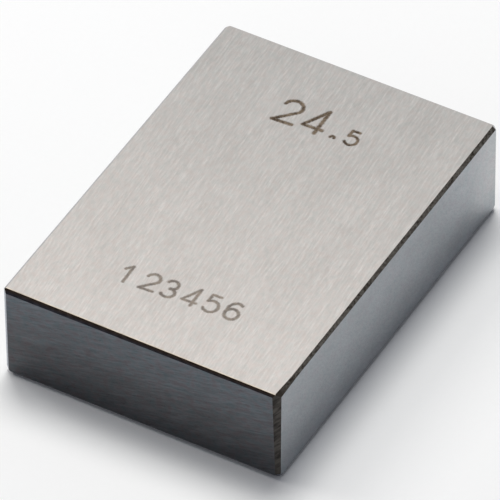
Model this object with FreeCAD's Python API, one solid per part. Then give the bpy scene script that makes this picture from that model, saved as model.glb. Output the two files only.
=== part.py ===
"""Rectangular steel gauge block of 24.5 mm nominal length, lying on one of its broad sides. Millimetres.

One piece of hardened steel: two lapped measuring faces, left and right, hold the nominal
length between them, and four ground side faces join them. Every edge carries a narrow flat,
dressed by hand with a stone, so the flats differ a little in width and some of them taper. The stone
also took the points off six of the eight corners.

+X runs from the left measuring face to the right one, +Y along the long side of those faces
and +Z up. The origin is the centre of the broad side face that the block lies on.
"""

import FreeCAD
import Part

import os

from FreeCAD import Vector

# The block before its edges are dressed.
nominal_length = 24.5  # from one measuring face to the other
measuring_face_width = 35.0  # long side of a measuring face
measuring_face_height = 9.0  # short side of a measuring face

# How far each flat reaches from its sharp edge, along both faces that meet there.
plain_reach = 0.30  # ordinary flat
fine_reach = 0.25  # lightly dressed flat
deep_reach = 0.38  # flat that got a few strokes more

# The five flats that taper, at their two ends.
top_front_reach_left = 0.35
top_front_reach_right = 0.25
top_right_reach_front = 0.25
top_right_reach_back = 0.29
front_right_reach_bottom = 0.32
front_right_reach_top = 0.52
bottom_front_reach_left = 0.34
bottom_front_reach_right = 0.46
bottom_right_reach_front = 0.28
bottom_right_reach_back = 0.38

# The stone dipped as it ran off the front end of the top right edge, and left a short wider flat.
dip_reach = 0.38  # at that corner
dip_length = 2.5  # from the corner to where the plain flat takes over

# How far the facet at a corner reaches from the sharp corner, along all three edges that meet there.
lower_corner_reach = 0.85
upper_corner_reach = 0.65

OUTWARD = {
    "left": Vector(-1, 0, 0),
    "right": Vector(1, 0, 0),
    "front": Vector(0, -1, 0),
    "back": Vector(0, 1, 0),
    "bottom": Vector(0, 0, -1),
    "top": Vector(0, 0, 1),
}

# The two faces that meet at each edge, and the reach of its flat at the edge's low and high end:
# an edge runs towards +X, +Y or +Z.
FLATS = {
    ("top", "front"): (top_front_reach_left, top_front_reach_right),
    ("top", "right"): (top_right_reach_front, top_right_reach_back),
    ("top", "back"): (fine_reach, fine_reach),
    ("top", "left"): (fine_reach, fine_reach),
    ("front", "right"): (front_right_reach_bottom, front_right_reach_top),
    ("front", "left"): (deep_reach, deep_reach),
    ("back", "right"): (plain_reach, plain_reach),
    ("back", "left"): (plain_reach, plain_reach),
    ("bottom", "front"): (bottom_front_reach_left, bottom_front_reach_right),
    ("bottom", "right"): (bottom_right_reach_front, bottom_right_reach_back),
    ("bottom", "back"): (plain_reach, plain_reach),
    ("bottom", "left"): (plain_reach, plain_reach),
}

# The corners that the stone touched. The two upper front ones keep their points.
CORNERS = {
    ("left", "front", "bottom"): lower_corner_reach,
    ("right", "front", "bottom"): lower_corner_reach,
    ("right", "back", "bottom"): lower_corner_reach,
    ("left", "back", "bottom"): lower_corner_reach,
    ("right", "back", "top"): upper_corner_reach,
    ("left", "back", "top"): upper_corner_reach,
}


def ground_blank():
    """The sharp-edged block, resting on Z = 0 and centred on the origin."""
    corner = Vector(-nominal_length / 2, -measuring_face_width / 2, 0)
    return Part.makeBox(nominal_length, measuring_face_width, measuring_face_height, corner)


def sharp_corner(outward):
    """The blank's corner towards which this vector points, one step along each axis."""
    half = Vector(nominal_length, measuring_face_width, measuring_face_height) / 2
    centre = Vector(0, 0, half.z)
    return centre + Vector(outward.x * half.x, outward.y * half.y, outward.z * half.z)


def edge_ends(first_side, second_side):
    """The low and high end of the sharp edge where two faces meet."""
    outward = OUTWARD[first_side] + OUTWARD[second_side]
    along = Vector(1 - abs(outward.x), 1 - abs(outward.y), 1 - abs(outward.z))
    return [sharp_corner(outward - along), sharp_corner(outward + along)]


def stone(point, outward):
    """A box whose underside lies in a plane through the point, with all of it outside that plane."""
    size = 2 * (nominal_length + measuring_face_width + measuring_face_height)
    box = Part.makeBox(size, size, size, Vector(-size / 2, -size / 2, 0))
    turn = FreeCAD.Rotation(Vector(0, 0, 1), outward)
    box.Placement = FreeCAD.Placement(point, turn)
    return box


def edge_stone(first_side, second_side, reaches):
    """The stone that dresses one edge, laid in the plane of its flat.

    The flat leaves the first face at the edge's reach from the second one, and the other way round,
    at both ends, so one plane holds its four corners even where it tapers.
    """
    first, second = OUTWARD[first_side], OUTWARD[second_side]
    low, high = edge_ends(first_side, second_side)
    reach_low, reach_high = reaches
    on_first_face = low - second * reach_low
    on_second_face = low - first * reach_low
    further_along = high - second * reach_high
    outward = (on_second_face - on_first_face).cross(further_along - on_first_face).normalize()
    if outward.dot(first + second) < 0:
        outward = -outward
    return stone(on_first_face, outward)


def corner_stone(sides, reach):
    """The stone that takes the point off one corner, square to the line through the corner."""
    outward = OUTWARD[sides[0]] + OUTWARD[sides[1]] + OUTWARD[sides[2]]
    on_first_edge = sharp_corner(outward) - OUTWARD[sides[0]] * reach
    return stone(on_first_edge, outward.normalize())


def dipping_stone():
    """The stone as it ran off the front end of the top right edge.

    Its plane meets the plain flat at the dip's length and stays clear of the block beyond it, so
    its reach at the far end of the edge is below nothing.
    """
    sides = ("top", "right")
    reach_front, reach_back = FLATS[sides]
    share = dip_length / measuring_face_width
    reach_at_length = reach_front + (reach_back - reach_front) * share
    reach_far_end = dip_reach - (dip_reach - reach_at_length) / share
    return edge_stone(*sides, (dip_reach, reach_far_end))


def gauge_block():
    """The finished block: the blank with a flat on each of its twelve edges and its corners touched."""
    edge_stones = [edge_stone(*sides, reaches) for sides, reaches in FLATS.items()]
    corner_stones = [corner_stone(sides, reach) for sides, reach in CORNERS.items()]
    return ground_blank().cut([*edge_stones, dipping_stone(), *corner_stones])


os.makedirs("parts", exist_ok=True)
block = gauge_block()
block.exportStep("parts/gauge_block.step")
print(f"gauge_block: {block.Volume:.1f} mm3, {len(block.Faces)} faces, valid {block.isValid()}")
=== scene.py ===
"""Looks of a rectangular steel gauge block that lies on one of its broad sides, marked side up.

The block is one closed skin: six faces, a narrow stoned flat along each edge, a facet on six of the
corners, and figures cut a few hundredths of a millimetre deep. Sizes are in millimetres until the
mesh is made.
"""

import itertools
import math

import bmesh
import bpy
import numpy as np
from mathutils import Matrix, Vector


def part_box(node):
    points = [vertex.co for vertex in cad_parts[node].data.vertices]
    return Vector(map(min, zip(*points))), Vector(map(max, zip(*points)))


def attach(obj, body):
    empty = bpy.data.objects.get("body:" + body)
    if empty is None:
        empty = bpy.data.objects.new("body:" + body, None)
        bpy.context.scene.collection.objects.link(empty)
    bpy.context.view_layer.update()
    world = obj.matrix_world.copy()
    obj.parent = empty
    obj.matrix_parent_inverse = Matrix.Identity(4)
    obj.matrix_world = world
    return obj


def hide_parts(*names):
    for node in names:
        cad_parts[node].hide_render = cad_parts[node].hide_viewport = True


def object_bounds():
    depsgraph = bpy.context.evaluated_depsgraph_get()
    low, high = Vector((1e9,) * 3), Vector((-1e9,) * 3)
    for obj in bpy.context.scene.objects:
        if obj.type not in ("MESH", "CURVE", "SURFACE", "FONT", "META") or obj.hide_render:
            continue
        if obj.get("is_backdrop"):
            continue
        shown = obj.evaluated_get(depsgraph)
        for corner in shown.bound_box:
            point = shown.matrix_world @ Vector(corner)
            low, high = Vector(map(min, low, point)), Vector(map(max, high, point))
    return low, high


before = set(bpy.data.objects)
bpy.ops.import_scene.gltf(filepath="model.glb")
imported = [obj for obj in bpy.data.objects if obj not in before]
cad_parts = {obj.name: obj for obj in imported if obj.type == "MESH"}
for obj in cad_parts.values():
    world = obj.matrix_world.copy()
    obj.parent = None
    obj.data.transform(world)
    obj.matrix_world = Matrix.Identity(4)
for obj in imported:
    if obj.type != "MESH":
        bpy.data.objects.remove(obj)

MM = 0.001
cad_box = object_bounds()

# ---------------------------------------------------------------- sizes

low, high = (np.array(corner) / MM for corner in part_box("gauge_block"))
BLOCK_TOP = high[2]

# How far each flat reaches from its sharp edge, at the low and high end of the edge.
FLAT_REACH = {
    ("top", "front"): (0.35, 0.25),
    ("top", "right"): (0.25, 0.29),
    ("top", "back"): (0.25, 0.25),
    ("top", "left"): (0.25, 0.25),
    ("front", "right"): (0.32, 0.52),
    ("front", "left"): (0.38, 0.38),
    ("back", "right"): (0.30, 0.30),
    ("back", "left"): (0.30, 0.30),
    ("bottom", "front"): (0.34, 0.46),
    ("bottom", "right"): (0.28, 0.38),
    ("bottom", "back"): (0.30, 0.30),
    ("bottom", "left"): (0.30, 0.30),
}
DIP_REACH = 0.38  # top right edge, at the front corner, where the stone dipped
DIP_LENGTH = 2.5
# How far the facet on a corner reaches along the three edges that meet there.
CORNER_REACH = {
    ("left", "front", "bottom"): 0.85,
    ("right", "front", "bottom"): 0.85,
    ("right", "back", "bottom"): 0.85,
    ("left", "back", "bottom"): 0.85,
    ("right", "back", "top"): 0.65,
    ("left", "back", "top"): 0.65,
}
ARRIS_WIDTH = 0.04  # what the stone left between a flat and a face

CUT_DEPTH = 0.025  # of the size mark
ROW_DEPTH_SHARE = 0.78  # how deep the row of figures is beside it
ROW_STROKE = 0.36  # width of the cut in the row of figures
# Across a cut, in half widths of its stroke: where its rim lies, how wide the slope of its wall is
# and how far both wander.
CUT_RIM = 1.2
CUT_WALL = 0.8
CUT_WANDER = 0.2
FINE_STEP = 0.045  # mesh spacing under the figures
PLAIN_STEP = 1.5  # and elsewhere
FIGURE_MARGIN = 0.6  # fine mesh around the figures, and room for the face's inset
WELD_DISTANCE = 0.001  # points of neighbouring parts nearer than this become one
ON_FACE = 0.0001  # points nearer the top face than this lie on it

# ---------------------------------------------------------------- figures

def bow(centre, radii, start, end):
    """Points on an ellipse from one angle to another, in degrees, in steps of at most ten."""
    angles = np.radians(np.linspace(start, end, 2 + int(abs(end - start) / 10)))
    return np.column_stack((centre[0] + radii[0] * np.cos(angles), centre[1] + radii[1] * np.sin(angles)))


# The strokes of each figure, one unit high, as the cutter's path.
FIGURES = {
    "1": [[(0.0, 0.74), (0.25, 1.0), (0.25, 0.0)]],
    "2": [[*bow((0.36, 0.72), (0.29, 0.28), 168, -30), (0.0, 0.0), (0.64, 0.02)]],
    "3": [bow((0.26, 0.75), (0.26, 0.25), 155, -90), bow((0.27, 0.26), (0.31, 0.26), 90, -145)],
    "4": [[(0.64, 0.2), (0.0, 0.2), (0.5, 1.04), (0.49, -0.01)]],
    "5": [[(0.47, 1.0), (0.09, 1.0), (0.06, 0.58), *bow((0.3, 0.34), (0.33, 0.34), 128, -145)]],
    "6": [[*bow((0.35, 0.6), (0.34, 0.4), 60, 180), *bow((0.31, 0.31), (0.3, 0.31), 180, 540)]],
    ".": [bow((0.05, 0.02), (0.065, 0.06), -20, 200)],
}

# Each figure: its height, the width of its stroke and the place of its lower left corner.
LINE_TILT = math.radians(2.2)
SIZE_MARK = [
    ("2", 2.68, 0.43, (-3.62, 9.45)),
    ("4", 2.62, 0.44, (-1.15, 9.53)),
    (".", 2.6, 0.31, (1.47, 9.80)),
    ("5", 1.6, 0.35, (2.60, 9.70)),
]
ROW_START = (-4.95, -12.25)
ROW_PITCH = 1.80
ROW_HEIGHT = 1.85


def placed(figure, height, corner):
    """A figure's strokes at their size and place on the top face, tilted as the whole line is."""
    along, up = math.cos(LINE_TILT), math.sin(LINE_TILT)
    turn = np.array([[along, up], [-up, along]])
    return [np.array(stroke) * height @ turn + corner for stroke in FIGURES[figure]]


def marks():
    """Every stroke on the top face, with its width and its share of the full depth."""
    strokes = []
    for figure, height, width, corner in SIZE_MARK:
        strokes += [(stroke, width, 1.0) for stroke in placed(figure, height, corner)]
    for place, figure in enumerate("123456"):
        along = place * ROW_PITCH
        corner = (ROW_START[0] + along, ROW_START[1] + along * math.tan(LINE_TILT))
        strokes += [(stroke, ROW_STROKE, ROW_DEPTH_SHARE) for stroke in placed(figure, ROW_HEIGHT, corner)]
    return strokes


def distance_to(stroke, points):
    """Each point's distance to the nearest segment of a stroke.

    A point's share along a segment is its projection on it, held between nought and one.
    """
    start, step = stroke[:-1], np.diff(stroke, axis=0)
    away = points[:, None, :] - start
    share = np.clip((away * step).sum(2) / (step * step).sum(1), 0, 1)
    return np.sqrt(((away - share[..., None] * step) ** 2).sum(2).min(1))


def cut(points):
    """How deep the figures are cut at each point, from nought on the face to one at the full depth.

    Across a stroke the depth follows a raised cosine with a flat floor. The laser's pulses leave its
    edge ragged: a product of two wandering sines, a third of a millimetre long, moves it in and out.
    """
    depth = np.zeros(len(points))
    x, y = points.T
    ragged = CUT_WANDER * np.sin(21 * x + 4 * np.sin(9 * y)) * np.sin(17 * y + 3 * np.sin(11 * x))
    for stroke, width, depth_share in marks():
        near = (points > stroke.min(0) - width).all(1) & (points < stroke.max(0) + width).all(1)
        across = distance_to(stroke, points[near]) / (width / 2) + ragged[near]
        wall = np.clip((CUT_RIM - across) / CUT_WALL, 0, 1)
        depth[near] = np.maximum(depth[near], depth_share * (1 - np.cos(math.pi * wall)) / 2)
    return depth


# ---------------------------------------------------------------- the block's skin

# The axis that each face lies across, and whether it is at the low or the high end of it.
SIDES = {
    "left": (0, -1),
    "right": (0, 1),
    "front": (1, -1),
    "back": (1, 1),
    "bottom": (2, -1),
    "top": (2, 1),
}


def spans(lowest, highest, fine_spans):
    """Grid positions from one end to the other, close together in the fine spans."""
    stops = [lowest, *(end for span in fine_spans for end in span), highest]
    steps = [PLAIN_STEP, FINE_STEP] * len(fine_spans) + [PLAIN_STEP]
    pieces = []
    for start, end, step in zip(stops, stops[1:], steps):
        pieces.append(np.linspace(start, end, 1 + math.ceil((end - start) / step))[:-1])
    return np.append(np.concatenate(pieces), highest)


def grid_shares():
    """For X, Y and Z, where the grid lines lie, as shares of the block's size."""
    figures = np.concatenate([stroke for stroke, width, depth_share in marks()])
    row = figures[figures[:, 1] < 0]
    size = figures[figures[:, 1] > 0]
    fine_x = [(figures[:, 0].min() - FIGURE_MARGIN, figures[:, 0].max() + FIGURE_MARGIN)]
    fine_y = [(part[:, 1].min() - FIGURE_MARGIN, part[:, 1].max() + FIGURE_MARGIN) for part in (row, size)]
    lines = (spans(low[0], high[0], fine_x), spans(low[1], high[1], fine_y), spans(low[2], high[2], []))
    return [(line - low[axis]) / (high[axis] - low[axis]) for axis, line in enumerate(lines)]


SHARES = grid_shares()


def reach(side, other):
    """The reach of the flat between two faces, at each grid line along their edge."""
    pair = (side, other) if (side, other) in FLAT_REACH else (other, side)
    axis = 3 - SIDES[side][0] - SIDES[other][0]
    share = SHARES[axis]
    start, end = FLAT_REACH[pair]
    flat = start + (end - start) * share
    if pair == ("top", "right"):
        run = share * (high[axis] - low[axis])
        at_length = start + (end - start) * DIP_LENGTH / (high[axis] - low[axis])
        flat = np.maximum(flat, DIP_REACH + (at_length - DIP_REACH) * run / DIP_LENGTH)
    return flat


def faces_across(axis):
    """The two faces across an axis, the low one first."""
    return [side for side, (its_axis, _) in SIDES.items() if its_axis == axis]


def face(side):
    """A face inside its flats, as a grid of points.

    Each coordinate in the face goes in a straight line from one flat's border to the opposite one.
    """
    normal, sign = SIDES[side]
    first, second = (axis for axis in range(3) if axis != normal)
    u, v = np.meshgrid(SHARES[first], SHARES[second], indexing="ij")
    points = np.empty((*u.shape, 3))
    points[..., normal] = (low if sign < 0 else high)[normal]
    at_start, at_end = faces_across(first)
    start = low[first] + reach(side, at_start)
    end = high[first] - reach(side, at_end)
    points[..., first] = start + (end - start) * u
    at_start, at_end = faces_across(second)
    start = (low[second] + reach(side, at_start))[:, None]
    end = (high[second] - reach(side, at_end))[:, None]
    points[..., second] = start + (end - start) * v
    return points


GRIDS = {side: face(side) for side in SIDES}


def border(side, other):
    """The grid points along a face's border with the flat towards another face."""
    normal, _ = SIDES[side]
    axis, sign = SIDES[other]
    grid = GRIDS[side]
    row = 0 if sign < 0 else -1
    return grid[row] if axis == min({0, 1, 2} - {normal}) else grid[:, row]


def quads(grid):
    """A grid's points in one list, and its cells as four corners each."""
    index = np.arange(grid.shape[0] * grid.shape[1]).reshape(grid.shape[:2])
    cells = np.stack((index[:-1, :-1], index[1:, :-1], index[1:, 1:], index[:-1, 1:]), axis=-1)
    return grid.reshape(-1, 3), cells.reshape(-1, 4).tolist()


def rim(grid):
    """A grid's rim as one polygon."""
    points = np.concatenate((grid[:-1, 0], grid[-1, :-1], grid[:0:-1, -1], grid[0, :0:-1]))
    return points, [list(range(len(points)))]


def mitre(sides):
    """The point where the three flats at a corner meet.

    Each flat's plane holds the sum of its two faces' insets at its reach, so a face's inset is half
    of the reaches of the flats beside it less half of the reach of the flat across from it.
    """
    axes = [SIDES[side][0] for side in sides]
    across = {}
    for side, axis in zip(sides, axes):
        one, other = (name for name in sides if name != side)
        across[axis] = reach(one, other)[0 if SIDES[side][1] < 0 else -1]
    inset = [(sum(across.values()) - 2 * across[axis]) / 2 for axis in range(3)]
    point = np.empty(3)
    for side, axis in zip(sides, axes):
        sign = SIDES[side][1]
        point[axis] = (low if sign < 0 else high)[axis] - sign * inset[axis]
    return point


BROAD, END, MEASURING, FLAT, UPRIGHT_FLAT, DARK_FLAT, FINE_FLAT = range(7)
FINISH = {"top": BROAD, "bottom": BROAD, "front": END, "back": END, "left": MEASURING, "right": MEASURING}
# What the coarse stone left; every other flat has the fine finish.
FLAT_FINISH = {
    ("top", "front"): DARK_FLAT,
    ("top", "right"): FLAT,
    ("front", "right"): UPRIGHT_FLAT,
}


def flat_finish(one, other):
    """The finish of the flat between two faces."""
    return FLAT_FINISH.get((one, other), FLAT_FINISH.get((other, one), FINE_FLAT))


def corner_cap(sides):
    """The pointed ends of the three flats at a corner, each from two faces' corners up to the mitre."""
    corners = {}
    for side in sides:
        one, other = (name for name in sides if name != side)
        corners[side] = border(side, one)[0 if SIDES[other][1] < 0 else -1]
    for one, other in itertools.combinations(sides, 2):
        yield np.array([corners[one], corners[other], mitre(sides)]), [[0, 1, 2]], flat_finish(one, other)


def skin_parts():
    """Every part of the skin as its points, its polygons and its finish."""
    yield *quads(GRIDS["top"]), BROAD
    for side in ("bottom", "front", "back", "left", "right"):
        yield *rim(GRIDS[side]), FINISH[side]
    for one, other in FLAT_REACH:
        strip = np.stack((border(one, other), border(other, one)), axis=1)
        yield *quads(strip), flat_finish(one, other)
    for sides in itertools.product(("left", "right"), ("front", "back"), ("bottom", "top")):
        yield from corner_cap(sides)


def dress_corner(skin, sides, corner_reach):
    """Cuts a corner off a closed skin, and closes it with a facet, square to the line through the corner.

    The facet's plane passes through the edge at the corner's reach from the sharp corner.
    """
    outward = np.zeros(3)
    for side in sides:
        axis, sign = SIDES[side]
        outward[axis] = sign
    on_edge = np.where(outward > 0, high, low)
    on_edge[0] -= outward[0] * corner_reach
    everything = [*skin.verts, *skin.edges, *skin.faces]
    plane = {"plane_co": on_edge * MM, "plane_no": outward}
    cut_off = bmesh.ops.bisect_plane(skin, geom=everything, clear_outer=True, **plane)
    rim_edges = [part for part in cut_off["geom_cut"] if isinstance(part, bmesh.types.BMEdge)]
    bmesh.ops.edgeloop_fill(skin, edges=rim_edges, mat_nr=FINE_FLAT)


def block_mesh():
    """The block's closed skin, with its figures cut, and how deep each point is cut as an attribute."""
    points, polygons, finishes = [], [], []
    for part_points, part_polygons, finish in skin_parts():
        start = sum(map(len, points))
        points.append(part_points)
        polygons += [[start + place for place in polygon] for polygon in part_polygons]
        finishes += [finish] * len(part_polygons)
    mesh = bpy.data.meshes.new("gauge_block_body")
    mesh.from_pydata(np.concatenate(points) * MM, [], polygons)
    mesh.polygons.foreach_set("material_index", finishes)

    joined = bmesh.new()
    joined.from_mesh(mesh)
    bmesh.ops.remove_doubles(joined, verts=joined.verts, dist=WELD_DISTANCE * MM)
    for sides, corner_reach in CORNER_REACH.items():
        dress_corner(joined, sides, corner_reach)
    bmesh.ops.recalc_face_normals(joined, faces=joined.faces)
    joined.to_mesh(mesh)
    joined.free()

    places = np.empty(len(mesh.vertices) * 3)
    mesh.vertices.foreach_get("co", places)
    places = places.reshape(-1, 3) / MM
    depth = np.where(places[:, 2] > BLOCK_TOP - ON_FACE, cut(places[:, :2]), 0.0)
    places[:, 2] -= CUT_DEPTH * depth
    mesh.vertices.foreach_set("co", (places * MM).ravel())
    mesh.attributes.new("cut", "FLOAT", "POINT").data.foreach_set("value", depth)
    mesh.shade_smooth()
    mesh.update()
    return mesh


# ---------------------------------------------------------------- materials

NOISE_LOW, NOISE_HIGH = 0.3, 0.7  # between these lies nearly all that a Noise node gives


def colour(code):
    """An sRGB hex colour as linear red, green, blue and alpha."""
    values = [int(code[place:place + 2], 16) / 255 for place in (1, 3, 5)]
    return (*(v / 12.92 if v <= 0.04045 else ((v + 0.055) / 1.055) ** 2.4 for v in values), 1.0)


def add(tree, kind, settings=None, inputs=None):
    """Adds a node with its settings; an input is either a value or another node's output."""
    node = tree.nodes.new("ShaderNode" + kind)
    for name, value in (settings or {}).items():
        setattr(node, name, value)
    for name, value in (inputs or {}).items():
        if isinstance(value, bpy.types.NodeSocket):
            tree.links.new(value, node.inputs[name])
        else:
            node.inputs[name].default_value = value
    return node


def new_material(name):
    """An empty material, its tree and the object's coordinates in millimetres."""
    material = bpy.data.materials.new(name)
    material.use_nodes = True
    tree = material.node_tree
    tree.nodes.clear()
    place = add(tree, "TexCoord").outputs["Object"]
    millimetres = add(tree, "Mapping", inputs={"Vector": place, "Scale": (1 / MM,) * 3}).outputs["Vector"]
    return material, tree, millimetres


def marks_noise(tree, place, size, turn=(0, 0, 0), detail=2.0, roughness=0.55):
    """Noise from nought to one whose grain has the given size in millimetres along each turned axis."""
    turned = add(tree, "Mapping", inputs={"Vector": place, "Rotation": turn}).outputs["Vector"]
    scale = [1 / length for length in size]
    scaled = add(tree, "Mapping", inputs={"Vector": turned, "Scale": scale}).outputs["Vector"]
    inputs = {"Vector": scaled, "Scale": 1.0, "Detail": detail, "Roughness": roughness}
    return add(tree, "TexNoise", inputs=inputs).outputs["Fac"]


def turn_to(stroke):
    """The turn that lays a stroke's direction along X: about X into the XY plane, then about Z."""
    x, y, z = stroke
    return -math.atan2(z, y), 0.0, -math.atan2(math.hypot(y, z), x)


def spread(tree, value, lowest, highest, to_lowest=0.0, to_highest=1.0):
    """A value stretched from one range to another."""
    ranges = {"From Min": lowest, "From Max": highest, "To Min": to_lowest, "To Max": to_highest}
    return add(tree, "MapRange", inputs={"Value": value, **ranges}).outputs["Result"]


def full_range(tree, noise, to_lowest=0.0, to_highest=1.0):
    """Noise stretched to a whole range, since it seldom leaves the middle of its own."""
    return spread(tree, noise, NOISE_LOW, NOISE_HIGH, to_lowest, to_highest)


def blend(tree, share, one, other, how="MIX"):
    """One colour turning to another, or multiplied by it, as the share goes from nought to one."""
    first, second, result = 6, 7, 2  # the colour sockets among a Mix node's others
    settings = {"data_type": "RGBA", "blend_type": how}
    return add(tree, "Mix", settings, {"Factor": share, first: one, second: other}).outputs[result]


def film(tree, place, metal, size, warm, cool):
    """Metal under a wiped film of oil, which tints it faintly in warm and cool patches."""
    patches = marks_noise(tree, place, size)
    metal = blend(tree, spread(tree, patches, 0.5, 0.65), metal, colour(warm), how="MULTIPLY")
    return blend(tree, spread(tree, patches, 0.5, 0.35), metal, colour(cool), how="MULTIPLY")


def steel(material, tree, **inputs):
    """Finishes a material as bare metal."""
    names = {name.replace("_", " ").title(): value for name, value in inputs.items()}
    shader = add(tree, "BsdfPrincipled", inputs={"Metallic": 1.0, **names})
    add(tree, "OutputMaterial", inputs={"Surface": shader.outputs["BSDF"]})
    return material


def ground_broad_face():
    """Hardened steel, surface ground along the block, with laser-cut figures.

    Fine scratches side by side, short ones and a few long ones, give a silky warm grey. A painted
    highlight makes it a shade lighter towards the row of figures, and painted shade makes it darker
    towards the back. The real scratches are finer than a hair: here they are drawn a sixth of a
    millimetre wide, so that they show. The laser leaves the figures brown and matt, patchy where it
    skipped.
    """
    material, tree, place = new_material("ground_steel_broad_face")
    wheel = (0, 0, math.radians(-4.0))  # the wheel ran a little askew
    scratches = marks_noise(tree, place, (0.17, 1.2, 1.0), turn=wheel, detail=3.0, roughness=0.7)
    lines = marks_noise(tree, place, (0.16, 5.0, 4.0), turn=wheel, detail=1.0)
    grain = marks_noise(tree, place, (0.15, 0.3, 1.0), turn=wheel)
    bands = marks_noise(tree, place, (0.8, 9.0, 4.0), turn=wheel)
    clouds = marks_noise(tree, place, (3.0, 5.0, 4.0))
    along = add(tree, "SeparateXYZ", inputs={"Vector": place}).outputs["Y"]
    # painted light: the broad face is a shade lighter at the front, by the row of figures, and darker
    # towards the back
    painted_shade_towards_back = spread(tree, along, low[1], high[1])
    groove = blend(tree, painted_shade_towards_back, colour("#C8C2BD"), colour("#ABA8A5"))
    ridge = blend(tree, painted_shade_towards_back, colour("#E9E4E0"), colour("#CFCCC9"))
    metal = blend(tree, full_range(tree, scratches), groove, ridge)
    metal = blend(tree, spread(tree, lines, 0.35, 0.65, 0.0, 0.5), metal, groove)
    metal = blend(tree, full_range(tree, grain, 0.0, 0.25), metal, groove)
    metal = blend(tree, full_range(tree, bands, 0.0, 0.25), metal, groove)
    metal = blend(tree, full_range(tree, clouds, 0.0, 0.2), metal, ridge)
    metal = film(tree, place, metal, (0.5, 0.6, 0.5), "#FFFCFB", "#FAFDFD")
    depth = add(tree, "Attribute", {"attribute_name": "cut"}).outputs["Fac"]
    patches = marks_noise(tree, place, (0.4, 0.4, 0.4), detail=3.0)
    burnt = blend(tree, spread(tree, patches, 0.38, 0.62), colour("#4D4136"), colour("#807262"))
    base = blend(tree, spread(tree, depth, 0.05, 1.0), metal, burnt)
    roughness = full_range(tree, scratches, 0.30, 0.40)
    bump = add(tree, "Bump", inputs={"Height": scratches, "Strength": 0.25, "Distance": 0.01 * MM})
    return steel(material, tree, base_color=base, roughness=roughness, normal=bump.outputs["Normal"])


def ground_end():
    """Hardened steel, ground across the block's ends by a cup wheel.

    The wheel's long shallow arcs rise to the right over a dark blue-grey. Painted shade makes it
    darker low down and a shade lighter towards the broad face.
    """
    material, tree, place = new_material("ground_steel_end")
    wheel = (0, math.radians(14), 0)
    arcs = marks_noise(tree, place, (1.3, 1.0, 0.13), turn=wheel, detail=3.0, roughness=0.7)
    clouds = marks_noise(tree, place, (3.0, 2.0, 1.2), turn=wheel)
    height = add(tree, "SeparateXYZ", inputs={"Vector": place}).outputs["Z"]
    # painted shade: the end face is darker low down and a shade lighter towards the broad face
    upwards = spread(tree, height, low[2] + 4.0, high[2])
    groove = blend(tree, upwards, colour("#454649"), colour("#54585D"))
    ridge = blend(tree, upwards, colour("#58595D"), colour("#6B7077"))
    metal = blend(tree, spread(tree, arcs, 0.33, 0.67), groove, ridge)
    metal = blend(tree, full_range(tree, clouds, 0.0, 0.45), metal, groove)
    metal = film(tree, place, metal, (0.7, 0.7, 0.5), "#FFF1F1", "#EDFAFB")
    roughness = full_range(tree, arcs, 0.26, 0.36)
    bump = add(tree, "Bump", inputs={"Height": arcs, "Strength": 0.25, "Distance": 0.01 * MM})
    return steel(material, tree, base_color=metal, roughness=roughness, normal=bump.outputs["Normal"])


def lapped_face():
    """Hardened steel lapped to a dull mirror: cool grey, clear soft reflections, hardly a line.

    A painted reflection of lit floor makes it a shade lighter at the back, above the lower border.
    """
    material, tree, place = new_material("lapped_steel_measuring_face")
    clouds = marks_noise(tree, place, (2.0, 4.0, 2.0))
    haze = marks_noise(tree, place, (0.35, 0.15, 0.15), turn=turn_to((0.0, -1.0, 1.0)), detail=3.0)
    axes = add(tree, "SeparateXYZ", inputs={"Vector": place}).outputs
    # painted reflection: lighter at the back end, above the lower border, where the face reflects lit
    # floor
    backwards = spread(tree, axes["Y"], high[1] - 5.0, high[1] - 1.0)
    upwards = spread(tree, axes["Z"], low[2] + 1.2, low[2] + 3.5)
    painted_reflection_at_back = add(tree, "Math", {"operation": "MULTIPLY"}, {0: backwards, 1: upwards}).outputs[0]
    metal = blend(tree, full_range(tree, clouds), colour("#94989C"), colour("#9DA1A6"))
    metal = blend(tree, painted_reflection_at_back, metal, colour("#AEAFB1"))
    metal = blend(tree, full_range(tree, haze), metal, colour("#E8EAEC"), how="MULTIPLY")
    metal = film(tree, place, metal, (0.5, 0.5, 0.5), "#FFFAFB", "#F7FCFC")
    roughness = full_range(tree, clouds, 0.14, 0.20)
    return steel(material, tree, base_color=metal, roughness=roughness)


def stoned_flat(name, dark, light, width=0.22, dip=0.0):
    """Steel dressed by hand with a stone: short slanting strokes with darker ones between them.

    They rise to the right and back. Where there is a dip at the front corner, the stone bit deep and
    left it dark.
    """
    material, tree, place = new_material(name)
    slant = turn_to((1.0, 1.0, 0.9))
    strokes = marks_noise(tree, place, (4 * width, width, width), turn=slant, detail=3.0)
    lifts = marks_noise(tree, place, (3.0, 3.0, 1.5))
    along = add(tree, "SeparateXYZ", inputs={"Vector": place}).outputs["Y"]
    deep = spread(tree, along, low[1] + 2.0, low[1] + 0.7, 0.0, dip)
    metal = blend(tree, spread(tree, strokes, 0.36, 0.64), colour(dark), colour(light))
    metal = blend(tree, spread(tree, lifts, 0.45, 0.7, 0.0, 0.4), metal, colour(light))
    metal = blend(tree, deep, metal, colour(dark))
    roughness = full_range(tree, strokes, 0.35, 0.5)
    bump = add(tree, "Bump", inputs={"Height": strokes, "Strength": 0.3, "Distance": 0.02 * MM})
    return steel(material, tree, base_color=metal, roughness=roughness, normal=bump.outputs["Normal"])


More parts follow.
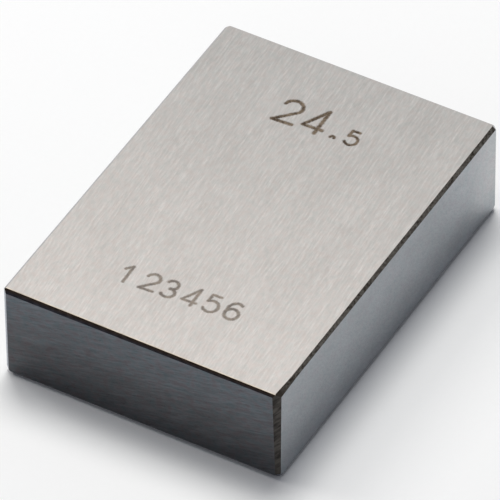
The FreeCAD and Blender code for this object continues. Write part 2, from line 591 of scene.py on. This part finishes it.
def fine_flat():
    """Steel dressed by hand with a fine stone: pale and bluish, more neutral at the top, with painted
    shade on the flats along the bottom.
    """
    material, tree, place = new_material("finely_stoned_steel_flat")
    strokes = marks_noise(tree, place, (0.9, 0.2, 0.2), turn=turn_to((1.0, 1.0, 0.9)), detail=3.0)
    height = add(tree, "SeparateXYZ", inputs={"Vector": place}).outputs["Z"]
    upwards = spread(tree, height, BLOCK_TOP - 0.35, BLOCK_TOP - 0.25)
    # painted shade: the flats along the bottom are darkened where the block meets the floor
    painted_shade_below = spread(tree, height, low[2] + 0.45, low[2] + 0.35)
    dark = blend(tree, upwards, colour("#8E929C"), colour("#A2A0A1"))
    light = blend(tree, upwards, colour("#A2A7B1"), colour("#B5B3B4"))
    metal = blend(tree, spread(tree, strokes, 0.36, 0.64), dark, light)
    metal = blend(tree, painted_shade_below, metal, colour("#53555A"))
    return steel(material, tree, base_color=metal, roughness=0.4)


def darkened_flat():
    """Stoned steel painted near black, a painted reflection of the dark surroundings it faces: brown at
    the broad face, blue-black towards the end face.

    A painted glint, straw-coloured and a twentieth of a millimetre wide, lies along its upper border,
    where the arris catches the light.
    """
    material, tree, place = new_material("stoned_steel_darkened_flat")
    strokes = marks_noise(tree, place, (0.5, 0.2, 0.2), detail=3.0)
    glint_patches = marks_noise(tree, place, (0.8, 0.8, 0.8))
    height = add(tree, "SeparateXYZ", inputs={"Vector": place}).outputs["Z"]
    upwards = spread(tree, height, BLOCK_TOP - 0.3, BLOCK_TOP - 0.05)
    # painted reflection: these near-black colours stand for the dark surroundings the flat reflects
    black = blend(tree, upwards, colour("#1B1B20"), colour("#1F1710"))
    dull = blend(tree, upwards, colour("#2B2B32"), colour("#34291E"))
    metal = blend(tree, full_range(tree, strokes), black, dull)
    # painted glint along the flat's upper border, where the arris catches the light
    painted_glint = blend(tree, full_range(tree, glint_patches), colour("#C4BAAC"), colour("#F0E4D2"))
    metal = blend(tree, spread(tree, height, BLOCK_TOP - 0.055, BLOCK_TOP - 0.045), metal, painted_glint)
    return steel(material, tree, base_color=metal, roughness=0.45)


def studio_floor():
    """Matt white card: even paper white, with a grain too faint to catch the eye."""
    material, tree, place = new_material("white_card")
    grain = marks_noise(tree, place, (0.5, 0.5, 0.5))
    base = blend(tree, grain, colour("#FAFAFA"), colour("#FCFCFC"))
    shader = add(tree, "BsdfPrincipled", inputs={"Base Color": base, "Roughness": 0.9})
    add(tree, "OutputMaterial", inputs={"Surface": shader.outputs["BSDF"]})
    return material


# ---------------------------------------------------------------- the piece

def gauge_block():
    """The block's skin with its arrises broken and its finishes on."""
    block = bpy.data.objects.new("gauge_block_body", block_mesh())
    bpy.context.scene.collection.objects.link(block)
    # In the order of the finishes' numbers, from BROAD to FINE_FLAT.
    for finish in (
        ground_broad_face(),
        ground_end(),
        lapped_face(),
        stoned_flat("stoned_steel_flat", "#2B2622", "#5A5753", dip=0.9),
        stoned_flat("stoned_steel_upright_flat", "#1B1818", "#4D4A47", width=0.3),
        darkened_flat(),
        fine_flat(),
    ):
        block.data.materials.append(finish)
    arris = block.modifiers.new("arris", "BEVEL")
    arris.width = ARRIS_WIDTH * MM
    arris.segments = 2
    arris.limit_method = "ANGLE"
    arris.angle_limit = math.radians(30)
    arris.use_clamp_overlap = False
    arris.harden_normals = True
    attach(block, "root")
    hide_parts("gauge_block")


# ---------------------------------------------------------------- studio

CAMERA_AZIMUTH = math.radians(30.16)
CAMERA_ELEVATION = math.radians(43.655)
CAMERA_ROLL = math.radians(-0.665)
CAMERA_DISTANCE = 652.88
CAMERA_OFFSET = (-0.205, -0.187)
FOCAL_LENGTH = 601.9


def direction(azimuth, elevation):
    """The unit vector towards a place at this azimuth, from -Y towards +X, and elevation."""
    flat = math.cos(elevation)
    return Vector((math.sin(azimuth) * flat, -math.cos(azimuth) * flat, math.sin(elevation)))


def set_camera():
    """A long lens from the front right, above the block."""
    data = bpy.data.cameras.new("camera")
    data.lens = FOCAL_LENGTH
    data.sensor_width = 36.0
    data.clip_end = 10.0
    camera = bpy.data.objects.new("camera", data)
    back = direction(CAMERA_AZIMUTH, CAMERA_ELEVATION)
    right = Vector((math.cos(CAMERA_AZIMUTH), math.sin(CAMERA_AZIMUTH), 0.0))
    axes = Matrix((right, back.cross(right), back)).transposed()
    axes = axes @ Matrix.Rotation(CAMERA_ROLL, 3, "Z")
    centre = Vector((low + high) / 2)
    place = centre + axes @ Vector((*CAMERA_OFFSET, CAMERA_DISTANCE))
    camera.matrix_world = Matrix.Translation(place * MM) @ axes.to_4x4()
    bpy.context.scene.collection.objects.link(camera)
    bpy.context.scene.camera = camera


def hang_lamp(name, azimuth, elevation, distance, side, power, tint="#FFFEFB"):
    """A square soft lamp that faces the block."""
    data = bpy.data.lights.new(name, "AREA")
    data.size = side
    data.energy = power
    data.color = colour(tint)[:3]
    towards = direction(math.radians(azimuth), math.radians(elevation))
    lamp = bpy.data.objects.new(name, data)
    aim = towards.to_track_quat("Z", "Y").to_matrix().to_4x4()
    lamp.matrix_world = Matrix.Translation(towards * distance) @ aim
    lamp.visible_glossy = False
    bpy.context.scene.collection.objects.link(lamp)


def lay_floor():
    """A wide card just under the block."""
    half_width = 3.0
    height = -0.01 * MM
    mesh = bpy.data.meshes.new("floor")
    corners = [(x * half_width, y * half_width, height) for x, y in ((-1, -1), (1, -1), (1, 1), (-1, 1))]
    mesh.from_pydata(corners, [], [(0, 1, 2, 3)])
    mesh.materials.append(studio_floor())
    floor = bpy.data.objects.new("floor", mesh)
    bpy.context.scene.collection.objects.link(floor)
    floor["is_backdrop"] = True


def set_world(plain_level, tint):
    """A white surround for the eye and for reflections, and plain light for everything else."""
    world = bpy.data.worlds.new("studio")
    world.use_nodes = True
    tree = world.node_tree
    tree.nodes.clear()
    ray = add(tree, "LightPath").outputs
    seen = add(tree, "Math", {"operation": "MAXIMUM"}, {0: ray["Is Camera Ray"], 1: ray["Is Glossy Ray"]})
    seen = add(tree, "Math", {"operation": "MAXIMUM"}, {0: seen.outputs[0], 1: ray["Is Transmission Ray"]})
    strength = spread(tree, seen.outputs[0], 0.0, 1.0, plain_level, 1.0)
    shade = blend(tree, seen.outputs[0], colour(tint), colour("#FFFFFF"))
    light = add(tree, "Background", inputs={"Color": shade, "Strength": strength})
    add(tree, "OutputWorld", inputs={"Surface": light.outputs["Background"]})
    bpy.context.scene.world = world


gauge_block()
lay_floor()
set_world(plain_level=0.22, tint="#EEF3FF")
hang_lamp("back_lamp", azimuth=210, elevation=70, distance=0.7, side=0.3, power=3.25)
hang_lamp("left_lamp", azimuth=270, elevation=50, distance=0.7, side=0.3, power=1.33)
set_camera()
bpy.context.scene.view_settings.view_transform = "Standard"

sizes = {"cad": cad_box, "visual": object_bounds()}
{name: [list(corner) for corner in box] for name, box in sizes.items()}
